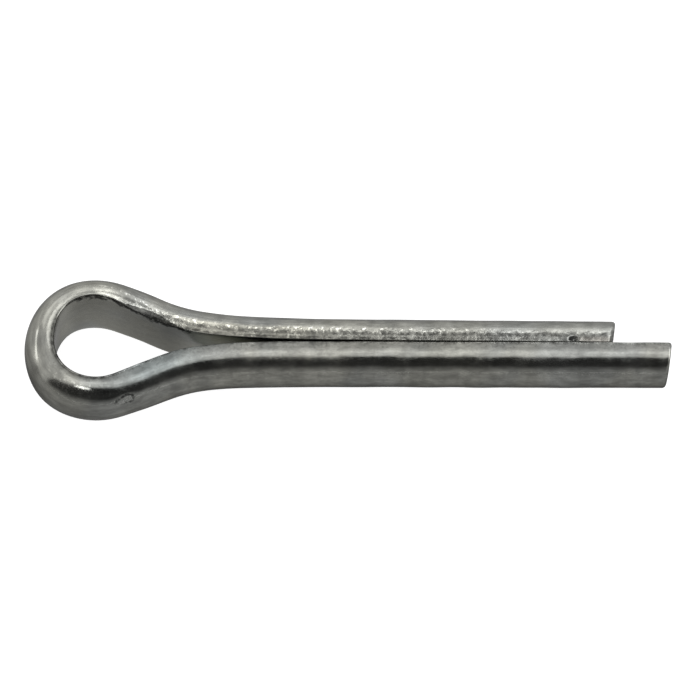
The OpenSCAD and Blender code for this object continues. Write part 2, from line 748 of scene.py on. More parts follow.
class Paint:
    """Short calls for laying nodes in a material's tree or a group's tree."""

    COLOUR_MIX_INPUTS = (0, 6, 7)
    COLOUR_MIX_OUTPUT = 2

    def __init__(self, tree: bpy.types.NodeTree) -> None:
        """Take over a tree and empty it."""
        self.tree = tree
        tree.nodes.clear()

    def feed(self, socket: Socket, value: object) -> None:
        """Link a socket to another node's output, or set it to a plain value.

        Args:
            socket: Input to feed.
            value: Another node's output, or a number, vector or colour.
        """
        if isinstance(value, Socket):
            self.tree.links.new(value, socket)
        else:
            socket.default_value = value

    def node(
        self, kind: str, inputs: dict[str | int, object] | None = None, **values: object
    ) -> bpy.types.Node:
        """Add a node, set its properties and feed its inputs.

        Args:
            kind: The node's type, without its ShaderNode prefix.
            inputs: What feeds each input, by its name or its number.
            **values: Properties of the node to set.

        Returns:
            The new node.
        """
        prefix = "" if kind.startswith("Node") else "ShaderNode"
        new = self.tree.nodes.new(prefix + kind)
        for name, value in values.items():
            setattr(new, name, value)
        for name, value in (inputs or {}).items():
            self.feed(new.inputs[name], value)
        return new

    def maths(self, operation: str, *values: object) -> Socket:
        """Add a Math node.

        Args:
            operation: What it does.
            *values: Its values in order, as sockets or numbers.

        Returns:
            The result.
        """
        inputs = dict(enumerate(values))
        return self.node("Math", inputs, operation=operation).outputs[0]

    def product(self, *values: object) -> Socket:
        """Multiply any number of values.

        Args:
            *values: The factors, as sockets or numbers.

        Returns:
            Their product.
        """
        whole = values[0]
        for value in values[1:]:
            whole = self.maths("MULTIPLY", whole, value)
        return whole

    def line(self, value: object, slope: float, start: float) -> Socket:
        """Add a straight line: the value times a slope, and a start."""
        return self.maths("MULTIPLY_ADD", value, slope, start)

    def less(self, value: object) -> Socket:
        """Take a value from 1."""
        return self.maths("SUBTRACT", 1.0, value)

    def vector(self, operation: str, *values: object) -> Socket:
        """Add a Vector Math node.

        Args:
            operation: What it does.
            *values: Its values in order, as sockets or vectors.

        Returns:
            The result.
        """
        inputs = dict(enumerate(values))
        return self.node("VectorMath", inputs, operation=operation).outputs[0]

    def spread(self, value: object, span: Pair, levels: Pair) -> Socket:
        """Stretch a value from one range to another along a smooth step.

        Args:
            value: Socket to read.
            span: The values that become the first and the second level.
            levels: Results at and beyond the two ends of the span.

        Returns:
            The stretched value, held within its new range.
        """
        names = ("Value", "From Min", "From Max", "To Min", "To Max")
        inputs = dict(zip(names, (value, *span, *levels)))
        new = self.node("MapRange", inputs, interpolation_type="SMOOTHSTEP")
        return new.outputs["Result"]

    def mix(self, share: object, first: object, second: object) -> Socket:
        """Mix two colours.

        Args:
            share: Share of the second colour.
            first: First colour, as a socket or a value.
            second: Second colour, as a socket or a value.

        Returns:
            The mixed colour.
        """
        inputs = dict(zip(self.COLOUR_MIX_INPUTS, (share, first, second)))
        new = self.node("Mix", inputs, data_type="RGBA")
        return new.outputs[self.COLOUR_MIX_OUTPUT]

    def noise(self, position: object, detail: float, roughness: float) -> Socket:
        """Add a noise whose grain is one unit of the position across.

        Args:
            position: Position to read.
            detail: Number of finer layers.
            roughness: Strength of each layer over the coarser one before it.

        Returns:
            The noise, which is mostly between 0.3 and 0.7.
        """
        inputs = {"Vector": position, "Scale": 1.0}
        inputs |= {"Detail": detail, "Roughness": roughness}
        return self.node("TexNoise", inputs, noise_dimensions="3D").outputs["Fac"]

    def pattern(
        self, position: object, size: Triple, detail: float, roughness: float
    ) -> Socket:
        """Add a noise whose grain has a size of its own.

        Args:
            position: Position to read.
            size: Size of the grain along each axis.
            detail: Number of finer layers.
            roughness: Strength of each layer over the coarser one before it.

        Returns:
            The noise, which is mostly between 0.3 and 0.7.
        """
        return self.noise(self.vector("DIVIDE", position, size), detail, roughness)

    def bumps(self, *layers: tuple[float, Socket]) -> Socket:
        """Lay reliefs over one another with Bump nodes.

        Args:
            *layers: Depth in metres and height of each relief, with the lowest first.

        Returns:
            The normal of the whole.
        """
        normal = None
        for depth, height in layers:
            bump = self.node("Bump", {"Distance": depth, "Height": height})
            if normal is not None:
                self.feed(bump.inputs["Normal"], normal)
            normal = bump.outputs["Normal"]
        return normal

    def end(self, shader: Socket, kind: str = "OutputMaterial") -> None:
        """Lead a shader to the tree's output."""
        self.node(kind, {"Surface": shader})


def new_group(
    name: str, inputs: dict[str, str], outputs: dict[str, str]
) -> tuple[bpy.types.NodeTree, Paint, bpy.types.Node, bpy.types.Node]:
    """Make an empty shader node group with named sockets.

    Args:
        name: Name of the group.
        inputs: Kind of socket for each input's name.
        outputs: Kind of socket for each output's name.

    Returns:
        The group, the calls that lay its nodes, and its input and output nodes.
    """
    tree = bpy.data.node_groups.new(name, "ShaderNodeTree")
    for direction, sockets in (("INPUT", inputs), ("OUTPUT", outputs)):
        for label, kind in sockets.items():
            tree.interface.new_socket(
                name=label, in_out=direction, socket_type="NodeSocket" + kind
            )
    paint = Paint(tree)
    return tree, paint, paint.node("NodeGroupInput"), paint.node("NodeGroupOutput")


def new_material(name: str) -> tuple[bpy.types.Material, Paint]:
    """Make an empty material.

    Args:
        name: Name of the material.

    Returns:
        The material, and the calls that lay its nodes.
    """
    material = bpy.data.materials.new(name)
    material.use_nodes = True
    return material, Paint(material.node_tree)


def new_object(name: str, data: bpy.types.ID) -> bpy.types.Object:
    """Make an object of a mesh, a lamp or a camera and put it in the scene.

    Args:
        name: Name of the object.
        data: What the object shows.

    Returns:
        The object.
    """
    item = bpy.data.objects.new(name, data)
    bpy.context.scene.collection.objects.link(item)
    return item


@dataclass(frozen=True)
class Grain:
    """The crystalline grain of the plating: a fine relief, bright flecks and dark specks.

    Each pair named "noise" holds a noise's detail and roughness.
    """

    relief_noise: Pair = (3.0, 0.6)
    dot_noise: Pair = (2.0, 0.5)
    dot_span: Pair = (0.54, 0.68)
    fleck_scale: float = 0.8
    fleck_shift: Triple = (7.3, 2.9, 5.1)
    speck_scale: float = 0.7
    speck_shift: Triple = (-3.7, 11.2, 1.6)

    def build(self) -> bpy.types.NodeTree:
        """Build the group.

        The flecks and the specks are the highest places of two noises of their own,
        which read the relief's position scaled and shifted.

        Returns:
            The group, with a position and a size in, and a relief and two masks out.
        """
        tree, paint, ends_in, ends_out = new_group(
            "Plating grain",
            {"Position": "Vector", "Size": "Float"},
            {"Relief": "Float", "Flecks": "Float", "Specks": "Float"},
        )
        position, size = ends_in.outputs["Position"], ends_in.outputs["Size"]
        near = paint.vector("DIVIDE", position, size)
        paint.feed(ends_out.inputs["Relief"], paint.noise(near, *self.relief_noise))
        for name, scale, shift in (
            ("Flecks", self.fleck_scale, self.fleck_shift),
            ("Specks", self.speck_scale, self.speck_shift),
        ):
            moved = paint.vector("MULTIPLY_ADD", near, (scale,) * 3, shift)
            dots = paint.noise(moved, *self.dot_noise)
            dots = paint.spread(dots, self.dot_span, (0.0, 1.0))
            paint.feed(ends_out.inputs[name], dots)
        return tree


@dataclass(frozen=True)
class Tint:
    """The plating's thin colour film, which wavers between a warm and a cool grey."""

    patch: float = 5.0 * MM
    patch_noise: Pair = (2.0, 0.55)
    patch_span: Pair = (0.35, 0.65)
    patch_warmth: Pair = (0.15, 0.6)
    warm: Colour = (1.03, 1.01, 0.88, 1.0)
    cool: Colour = (0.97, 1.0, 0.98, 1.0)

    def build(self) -> bpy.types.NodeTree:
        """Build the group.

        Returns:
            The group, with a position and a warmth in, and a colour factor out.
        """
        tree, paint, ends_in, ends_out = new_group(
            "Plating tint",
            {"Position": "Vector", "Warmth": "Float"},
            {"Color": "Color"},
        )
        place, warmth = ends_in.outputs["Position"], ends_in.outputs["Warmth"]
        patches = paint.pattern(place, (self.patch,) * 3, *self.patch_noise)
        patches = paint.spread(patches, self.patch_span, self.patch_warmth)
        share = paint.maths("MINIMUM", paint.maths("ADD", patches, warmth), 1.0)
        paint.feed(ends_out.inputs["Color"], paint.mix(share, self.cool, self.warm))
        return tree


@dataclass(frozen=True)
class ZincFinish:
    """Satin zinc plating over drawn steel wire.

    The grain and the sand are two sizes of crystals, the mottle is lumps, the clouds are
    wide patches on the whole pin, and the patches, the rings and the lines are stretched
    along or round the wire, with a length and a width of their own. Each pair named
    "noise" holds a noise's detail and roughness, each named "shade" the factors at its
    pattern's low and high ends, and each named "share" the slope and the start of a
    straight line on a mask or a noise.
    """

    name: str = "zinc_plate"
    grey: float = 0.5
    roughness: Pair = (0.13, 0.2)
    speck_roughness: float = 0.04
    edge_tint: float = 0.5
    grain: float = 0.19 * MM
    grain_depth: float = 0.0011 * MM
    sand: float = 0.12 * MM
    sand_depth: float = 0.0075 * MM
    mottle: float = 0.42 * MM
    mottle_depth: float = 0.005 * MM
    cloud: float = 2.6 * MM
    patch: Pair = (1.3 * MM, 0.55 * MM)
    ring: Pair = (0.8 * MM, 5.0 * MM)
    line: Pair = (3.0 * MM, 0.22 * MM)
    line_depth: float = 0.0015 * MM
    mottle_noise: Pair = (2.0, 0.5)
    cloud_noise: Pair = (3.0, 0.6)
    patch_noise: Pair = (3.0, 0.6)
    ring_noise: Pair = (1.0, 0.55)
    line_noise: Pair = (2.0, 0.5)
    cloud_span: Pair = (0.35, 0.65)
    pattern_span: Pair = (0.3, 0.7)
    cloud_shade: Pair = (0.92, 1.05)
    patch_shade: Pair = (0.78, 1.16)
    ring_shade: Pair = (0.92, 1.08)
    line_shade: Pair = (0.98, 1.02)
    calm_share: Pair = (-0.75, 1.0)
    # Painted shade inside the eye and on the legs' shadow lines.
    inner_share: Pair = (-0.24, 1.0)
    # Patchiness of the dull lines and of their painted shade.
    patchy_darkening: Pair = (0.62, 0.12)
    speck_share: Pair = (0.4, 0.06)
    fleck_share: Pair = (1.3, 0.06)
    lump_share: Pair = (2.6, 0.3)
    # Painted shade and dirt along the short half's corner, made ragged by the mottle.
    ragged_share: Pair = (1.4, -0.7)
    ragged_span: Pair = (0.45, 0.8)
    ragged_darkness: float = 0.84
    warm_share: Pair = (0.6, 0.12)
    bluish: Triple = (0.93, 1.0, 1.04)
    stain: Colour = (0.2, 0.192, 0.175, 1.0)
    masks: tuple[str, ...] = (
        "strip",
        "dull_lines_and_shade",
        "spark",
        "warm",
        "calm",
        "inner",
        "corner_shade_and_dirt",
        "stain",
        "cool",
    )

    def build(
        self, grain: bpy.types.NodeTree, tint: bpy.types.NodeTree, wire: Pair
    ) -> bpy.types.Material:
        """Build the material of the wire's long surface.

        Args:
            grain: The group of the plating's grain.
            tint: The group of the plating's colour film.
            wire: Length of the wire and distance round it, which scale its own map.

        Returns:
            The material.
        """
        material, paint = new_material(self.name)
        place = paint.node("TexCoord").outputs["Object"]
        read = {
            name: paint.node("Attribute", attribute_name=name).outputs["Fac"]
            for name in self.masks
        }
        read |= self.patterns(paint, place, wire)
        fine, sand = (
            paint.node("Group", {"Position": place, "Size": size}, node_tree=grain)
            for size in (self.grain, self.sand)
        )
        read |= {"flecks": fine.outputs["Flecks"], "specks": sand.outputs["Specks"]}
        read["lively"] = paint.line(read["calm"], *self.calm_share)

        warmth = paint.line(read["warm"], *self.warm_share)
        film = paint.node(
            "Group", {"Position": place, "Warmth": warmth}, node_tree=tint
        ).outputs["Color"]
        value = self.brightness(paint, read)
        shade = paint.node("VectorMath", {0: film, "Scale": value}, operation="SCALE")
        shade = shade.outputs[0]
        bluish = paint.vector("MULTIPLY", shade, self.bluish)
        colour = paint.mix(read["cool"], shade, bluish)
        colour = paint.mix(read["stain"], colour, self.stain)

        rough = paint.spread(read["cloud"], self.cloud_span, self.roughness)
        specks = paint.product(fine.outputs["Specks"], self.speck_roughness)
        lumps = paint.line(read["strip"], *self.lump_share)
        normal = paint.bumps(
            (self.line_depth, paint.product(read["lines"], read["lively"])),
            (self.mottle_depth, paint.product(read["mottle"], lumps)),
            (self.grain_depth, fine.outputs["Relief"]),
            (self.sand_depth, paint.product(sand.outputs["Relief"], read["strip"])),
        )
        shader = paint.node(
            "BsdfPrincipled",
            {
                "Base Color": colour,
                "Metallic": 1.0,
                "Roughness": paint.maths("ADD", rough, specks),
                "Specular Tint": (self.edge_tint,) * 3 + (1.0,),
                "Normal": normal,
            },
        )
        paint.end(shader.outputs["BSDF"])
        return material

    def patterns(self, paint: Paint, place: Socket, wire: Pair) -> dict[str, Socket]:
        """Add the noises that make up the finish.

        Args:
            paint: Calls that lay the material's nodes.
            place: Position on the pin.
            wire: Length of the wire and distance round it.

        Returns:
            Each noise by its name.
        """
        wire_map = paint.node("UVMap", uv_map="wire").outputs["UV"]
        patch, ring, line = (
            (length / wire[0], width / wire[1], 1.0)
            for length, width in (self.patch, self.ring, self.line)
        )
        return {
            "mottle": paint.pattern(place, (self.mottle,) * 3, *self.mottle_noise),
            "cloud": paint.pattern(place, (self.cloud,) * 3, *self.cloud_noise),
            "lines": paint.pattern(wire_map, line, *self.line_noise),
            "patches": paint.pattern(wire_map, patch, *self.patch_noise),
            "rings": paint.pattern(wire_map, ring, *self.ring_noise),
        }

    def brightness(self, paint: Paint, read: dict[str, Socket]) -> Socket:
        """Add the nodes for how bright the plating is.

        The wide patterns are multiplied, and made weaker where the surface is calm. The
        painted inner shade, the dull lines with their painted shade, the specks, and the
        painted shade and dirt along the corner then take light away, and the flecks add
        some.

        Args:
            paint: Calls that lay the material's nodes.
            read: The masks and the noises by their names.

        Returns:
            The brightness.
        """
        value = paint.product(
            paint.spread(read["cloud"], self.cloud_span, self.cloud_shade),
            paint.spread(read["patches"], self.pattern_span, self.patch_shade),
            paint.spread(read["rings"], self.pattern_span, self.ring_shade),
            paint.spread(read["lines"], self.pattern_span, self.line_shade),
        )
        value = paint.maths(
            "MULTIPLY_ADD", paint.maths("SUBTRACT", value, 1.0), read["lively"], 1.0
        )
        darkening = paint.spread(read["mottle"], self.pattern_span, self.patchy_darkening)
        specks = paint.line(read["strip"], *self.speck_share)
        flecks = paint.line(read["spark"], *self.fleck_share)
        flecks = paint.product(read["flecks"], flecks)
        # Painted shade and dirt along the corner, made ragged by the mottle.
        ragged = paint.line(read["mottle"], *self.ragged_share)
        ragged = paint.maths("ADD", read["corner_shade_and_dirt"], ragged)
        ragged = paint.spread(ragged, self.ragged_span, (0.0, self.ragged_darkness))
        return paint.product(
            value,
            paint.line(read["inner"], *self.inner_share),
            paint.less(paint.product(read["dull_lines_and_shade"], darkening)),
            paint.less(paint.product(read["specks"], specks)),
            paint.maths("ADD", 1.0, flecks),
            paint.less(ragged),
            self.grey,
        )


@dataclass(frozen=True)
class ShearedFinish:
    """The sheared ends of the wire, plated after cutting: duller, and with cut lines."""

    name: str = "zinc_plate_sheared"
    grey: float = 0.44
    roughness: Pair = (0.32, 0.44)
    warmth: float = 0.1
    grain: float = 0.2 * MM
    grain_depth: float = 0.02 * MM
    speck_share: Pair = (-0.3, 1.0)
    line: Triple = (1.0 * MM, 0.13 * MM, 1.5 * MM)
    line_noise: Pair = (2.0, 0.5)
    line_depth: float = 0.012 * MM
    line_span: Pair = (0.3, 0.7)
    line_shade: Pair = (0.85, 1.1)

    def build(
        self, grain: bpy.types.NodeTree, tint: bpy.types.NodeTree
    ) -> bpy.types.Material:
        """Build the material of the end faces.

        Args:
            grain: The group of the plating's grain.
            tint: The group of the plating's colour film.

        Returns:
            The material.
        """
        material, paint = new_material(self.name)
        place = paint.node("TexCoord").outputs["Object"]
        sizes = {"Position": place, "Size": self.grain}
        fine = paint.node("Group", sizes, node_tree=grain)
        film = {"Position": place, "Warmth": self.warmth}
        film = paint.node("Group", film, node_tree=tint).outputs["Color"]
        lines = paint.pattern(place, self.line, *self.line_noise)
        value = paint.product(
            paint.spread(lines, self.line_span, self.line_shade),
            paint.line(fine.outputs["Specks"], *self.speck_share),
            self.grey,
        )
        shade = paint.node("VectorMath", {0: film, "Scale": value}, operation="SCALE")
        normal = paint.bumps(
            (self.line_depth, lines), (self.grain_depth, fine.outputs["Relief"])
        )
        shader = paint.node(
            "BsdfPrincipled",
            {
                "Base Color": shade.outputs[0],
                "Metallic": 1.0,
                "Roughness": paint.spread(lines, self.line_span, self.roughness),
                "Normal": normal,
            },
        )
        paint.end(shader.outputs["BSDF"])
        return material


@dataclass(frozen=True)
class Rows:
    """The rows of one half of the pin, from the crown to the middle of its end face.

    The points are rows by columns by three. Each row has its distance along the wire and
    its share of the way in to the middle of the end face.
    """

    points: np.ndarray
    along: np.ndarray
    drawn_in: np.ndarray


@dataclass
class CotterPin:
    """The whole pin as one closed surface."""

    outline: WireOutline
    eye: Eye
    halves: tuple[HalfWire, HalfWire]
    marks: Sequence[Mark] = ()
    waver: Waver = Waver()
    wear_and_shade: WearAndShade = WearAndShade()
    leg_sharpness: float = 0.15 * MM
    spacing: float = 0.125 * MM
    least_spacing: float = 0.3
    edge_rings: int = 6
    face_rings: int = 7
    roll_middle: float = 0.42
    lean_length: float = 3.0 * MM
    least_size: float = 1e-12
    fan_heights: Triple = (0.5, 0.4, 0.6)

    def stations(self, half: HalfWire, distance: np.ndarray) -> tuple[np.ndarray, ...]:
        """Choose where the rows of one half stand.

        The last rows go round the edge of the end, inwards by one minus the cosine and
        onwards by the sine of a quarter turn, and then draw in to the middle of the face.

        Args:
            half: The half to work out.
            distance: Distances from the crown of the points on its line.

        Returns:
            Each row's distance along the wire, its inset, and its share of the way in to
            the middle of the end face.
        """
        tip, edge_r = distance[-1], half.end_edge_r
        body = distance[distance < tip - edge_r - self.least_spacing * self.spacing]
        quarter = np.linspace(0.0, math.pi / 2, self.edge_rings)
        edge = tip - edge_r * (1.0 - np.sin(quarter))
        along = np.concatenate([body, edge, np.full(self.face_rings, tip)])
        edge_inset = edge_r * (1.0 - np.cos(quarter))
        face_inset = np.full(self.face_rings, edge_r)
        inset = np.concatenate([np.zeros(len(body)), edge_inset, face_inset])
        inwards = np.linspace(0, 1, self.face_rings + 1)[1:]
        drawn_in = np.concatenate([np.zeros(len(body) + len(edge)), inwards])
        return along, inset, drawn_in

    def section(
        self, half: HalfWire, along: np.ndarray, inset: np.ndarray, roll: np.ndarray
    ) -> tuple[np.ndarray, np.ndarray]:
        """Work out the wire's outline at each row.

        In the eye it is thinner, wider and rolled about a middle. On the legs it has
        sharper corners, and is a little fuller towards the neck.

        Args:
            half: The half to work out.
            along: Each row's distance along the wire.
            inset: Each row's inset.
            roll: Each row's roll, where the wire is bent.

        Returns:
            Distance out from the flat and height, each as rows by columns.
        """
        bent = self.eye.weight(along, half)
        out, up = self.outline.points(inset, self.leg_sharpness * (1.0 - bent))
        bent = bent[:, None]
        thicker = half.fullness + half.thickening * (along[-1] - along[:, None])
        thicker = thicker / self.outline.round_r
        out = out * (1.0 + thicker * (1.0 - bent) - self.eye.thinning * bent)
        up = up * (1.0 + self.eye.widening * bent)
        middle = self.roll_middle * self.outline.round_r
        roll = roll[:, None] * bent
        return (
            middle + (out - middle) * np.cos(roll) + up * np.sin(roll),
            up * np.cos(roll) - (out - middle) * np.sin(roll),
        )

    def rows(self, half: HalfWire) -> Rows:
        """Work out the rows of one half.

        Each row is the wire's outline, drawn in towards the middle on the end face,
        raised by the relief along the outline's own normal, and set square to the line of
        the flat side. The end leans back below its upper edge and is a little skewed, as
        a shear cuts it.

        Args:
            half: The half to work out.

        Returns:
            The rows.
        """
        distance, *line = half.spine(self.eye, self.spacing)
        along, inset, drawn_in = self.stations(half, distance)
        x, y, normal_x, normal_y, roll = (
            np.interp(along, distance, values) for values in line
        )
        out, up = self.section(half, along, inset, roll)
        middle = self.roll_middle * self.outline.round_r
        out = middle + (out - middle) * (1.0 - drawn_in[:, None])
        up = up * (1.0 - drawn_in[:, None])

        flat_out = np.roll(up, -1, 1) - np.roll(up, 1, 1)
        flat_up = -(np.roll(out, -1, 1) - np.roll(out, 1, 1))
        size = np.hypot(flat_out, flat_up) + self.least_size
        fade = (1.0 - smooth_step(inset, 0.0, half.end_edge_r))[:, None]
        height = self.relief(half, along) * fade
        out = out - height * flat_out / size
        up = up - height * flat_up / size

        lean = smooth_step(along, along[-1] - self.lean_length, along[-1])[:, None]
        shift = -(self.outline.round_r - up) * math.tan(half.shear)
        shift = (shift + half.end_skew * out) * lean
        x, y, normal_x, normal_y = (
            values[:, None] for values in (x, y, normal_x, normal_y)
        )
        across = y + normal_y * out - normal_x * shift
        points = [x + normal_x * out + normal_y * shift, across * half.side.value, up]
        return Rows(np.stack(points, axis=2), along, drawn_in)

    def relief(self, half: HalfWire, along: np.ndarray) -> np.ndarray:
        """Work out the height of the surface, the sum of its waver and its marks.

        Args:
            half: The half that the rows belong to.
            along: Distance of each row from the crown.

        Returns:
            Height outwards, as rows by columns.
        """
        around = self.outline.from_outermost()
        signed = (along * half.side.value)[:, None]
        height = self.waver.relief(signed, around, self.outline.lengths_round()[-1])
        return height + sum(mark.relief(signed, around) for mark in self.marks)

    def build(self) -> bpy.types.Object:
        """Join the two halves at the crown, close their ends and make the mesh.

        Returns:
            The pin's object, with its map along and round the wire and its masks.
        """
        short, long = (self.rows(half) for half in self.halves)
        points = np.concatenate([long.points[::-1], short.points[1:]])
        along = np.concatenate([-long.along[::-1], short.along[1:]])
        drawn_in = np.concatenate([long.drawn_in[::-1], short.drawn_in[1:]])
        first, last = points[0].mean(0), points[-1].mean(0)
        ring = points[1:-1]
        rows, columns = ring.shape[:2]
        index = np.arange(rows * columns).reshape(rows, columns)
        right = np.roll(index, -1, 1)
        quads = np.stack([index[:-1], index[1:], right[1:], right[:-1]], -1)
        start, end = rows * columns, rows * columns + 1
        fans = np.concatenate(
            [
                np.stack([np.full(columns, start), index[0], right[0]], -1),
                np.stack([np.full(columns, end), right[-1], index[-1]], -1),
            ]
        )
        faces = quads.reshape(-1, 4).tolist() + fans.tolist()
        vertices = np.concatenate([ring.reshape(-1, 3), [first, last]])
        mesh = bpy.data.meshes.new("bent_wire")
        mesh.from_pydata(vertices.tolist(), [], faces)
        mesh.polygons.foreach_set("use_smooth", np.ones(len(mesh.polygons), bool))

        middle = drawn_in[1:-1]
        on_face = np.repeat((middle[:-1] + middle[1:] > 0.0), columns)
        slots = np.concatenate([on_face, np.ones(2 * columns, bool)]).astype(np.int32)
        mesh.polygons.foreach_set("material_index", slots)
        self.map_wire(mesh, along[1:-1], columns)
        self.mask(mesh, along[1:-1, None])
        mesh.update()
        return new_object("pin_wire", mesh)

    def map_wire(self, mesh: bpy.types.Mesh, along: np.ndarray, columns: int) -> None:
        """Lay out the map that runs along and round the wire.

        Its first number is the share of the way from tip to tip, and its second is the
        share of the way round the outline from the lower end of the flat.

        Args:
            mesh: Mesh of the pin, whose first faces are the rows' quads.
            along: Signed distance of each row from the crown.
            columns: Number of points in a row.
        """
        share = (along - along[0]) / (along[-1] - along[0])
        lengths = self.outline.lengths_round()
        round_share = lengths / lengths[-1]
        corners = (
            (share[:-1], round_share[:-1]),
            (share[1:], round_share[:-1]),
            (share[1:], round_share[1:]),
            (share[:-1], round_share[1:]),
        )
        quads = np.stack(
            [np.stack(np.meshgrid(u, v, indexing="ij"), -1) for u, v in corners], axis=2
        )
        heights = np.tile(self.fan_heights, columns)
        fan = np.stack([np.zeros(3 * columns), heights], -1)
        flat = np.concatenate([quads.reshape(-1, 2), fan, fan + [1.0, 0.0]])
        layer = mesh.uv_layers.new(name="wire")
        layer.data.foreach_set("uv", flat.astype(np.float32).ravel())

    def mask(self, mesh: bpy.types.Mesh, along: np.ndarray) -> None:
        """Store the masks of the wear and the painted shade as attributes, with the marks'
        rings added to the shade and dirt along the corner.

        Args:
            mesh: Mesh of the pin, whose last two points are the middles of its ends.
            along: Signed distance of each row from the crown, as one column.
        """
        past, climb = self.outline.past_corner(), self.outline.lengths_round()[None, :-1]
        masks = self.wear_and_shade.masks(Places(along / MM, past / MM, climb / MM))
        for mark in self.marks:
            shade = mark.shade(along, self.outline.from_outermost())
            masks["corner_shade_and_dirt"] = np.maximum(masks["corner_shade_and_dirt"], shade)
        for name, values in masks.items():
            layer = mesh.attributes.new(name, "FLOAT", "POINT")
            whole = np.concatenate([values.ravel(), np.zeros(2)])
            layer.data.foreach_set("value", whole.astype(np.float32))

    def length(self, half: HalfWire) -> float:
        """Measure one half of the wire from the crown to its tip."""
        return half.spine(self.eye, self.spacing)[0][-1]

    def dress(self, pin: bpy.types.Object) -> None:
        """Give the pin its two finishes.

        Args:
            pin: The pin's object.
        """
        grain, tint = Grain().build(), Tint().build()
        reach = sum(self.length(half) for half in self.halves)
        wire = (reach, self.outline.lengths_round()[-1])
        pin.data.materials.append(ZincFinish().build(grain, tint, wire))
        pin.data.materials.append(ShearedFinish().build(grain, tint))


@dataclass(frozen=True)
class Sheet:
    """A flat sheet that only reflections see, brighter or darker along one axis.

    The levels are its brightness at shares of the way along the axis, and the span is
    where on that axis they start and end.
    """

    name: str
    corners: Sequence[Triple]
    levels: Sequence[Pair]
    axis: Axis
    span: Pair

    def hang(self) -> None:
        """Make the sheet and hide it from all rays but reflections."""
        mesh = bpy.data.meshes.new(self.name)
        mesh.from_pydata(list(self.corners), [], [(0, 1, 2, 3)])
        sheet = new_object(self.name, mesh)
        mesh.materials.append(self.finish())
        sheet.visible_camera = sheet.visible_diffuse = False
        sheet.visible_shadow = sheet.visible_transmission = False

    def finish(self) -> bpy.types.Material:
        """Build the sheet's glow, a ramp of its levels along the axis.

        Returns:
            The material.
        """
        material, paint = new_material(self.name)
        place = paint.node("TexCoord").outputs["Object"]
        parts = paint.node("SeparateXYZ", {0: place})
        share = paint.node(
            "MapRange",
            {
                "Value": parts.outputs[self.axis.value],
                "From Min": self.span[0],
                "From Max": self.span[1],
            },
        )
        ramp = paint.node("ValToRGB", {0: share.outputs["Result"]})
        ramp.color_ramp.interpolation = "EASE"
        elements = ramp.color_ramp.elements
        while len(elements) < len(self.levels):
            elements.new(0.5)
        for element, (position, level) in zip(elements, self.levels):
            element.position = position
            element.color = (level, level, level, 1.0)
        glow = paint.node("Emission", {"Color": ramp.outputs["Color"]})
        paint.end(glow.outputs[0])
        return material


def direction(azimuth: float, elevation: float) -> Vector:
    """Turn an azimuth from +X towards +Y and an elevation into a vector of length 1."""
    level = math.cos(elevation)
    return Vector(
        (math.cos(azimuth) * level, math.sin(azimuth) * level, math.sin(elevation))
    )


@dataclass(frozen=True)
class Lamp:
    """A soft rectangular lamp, by its direction and its size in degrees from the pin.

    The azimuth goes from +X towards +Y, the elevation is over the horizon, and the
    brightness is that of its surface, where 1 is white.
    """

    name: str
    azimuth: float
    elevation: float
    width: float
    height: float
    brightness: float
    white_energy: float = 4.0

    def hang(self, centre: Vector, distance: float) -> None:
        """Hang the lamp so that it faces the pin.

        Args:
            centre: Middle of the pin.
            distance: Distance of the lamp from there.
        """
        toward = direction(math.radians(self.azimuth), math.radians(self.elevation))
        data = bpy.data.lights.new(self.name, "AREA")
        data.shape = "RECTANGLE"
        data.size = 2 * distance * math.tan(math.radians(self.width / 2))
        data.size_y = 2 * distance * math.tan(math.radians(self.height / 2))
        data.energy = self.white_energy * data.size * data.size_y * self.brightness
        lamp = new_object(self.name, data)
        lamp.location = centre + toward * distance
        lamp.rotation_euler = toward.to_track_quat("Z", "Y").to_euler()


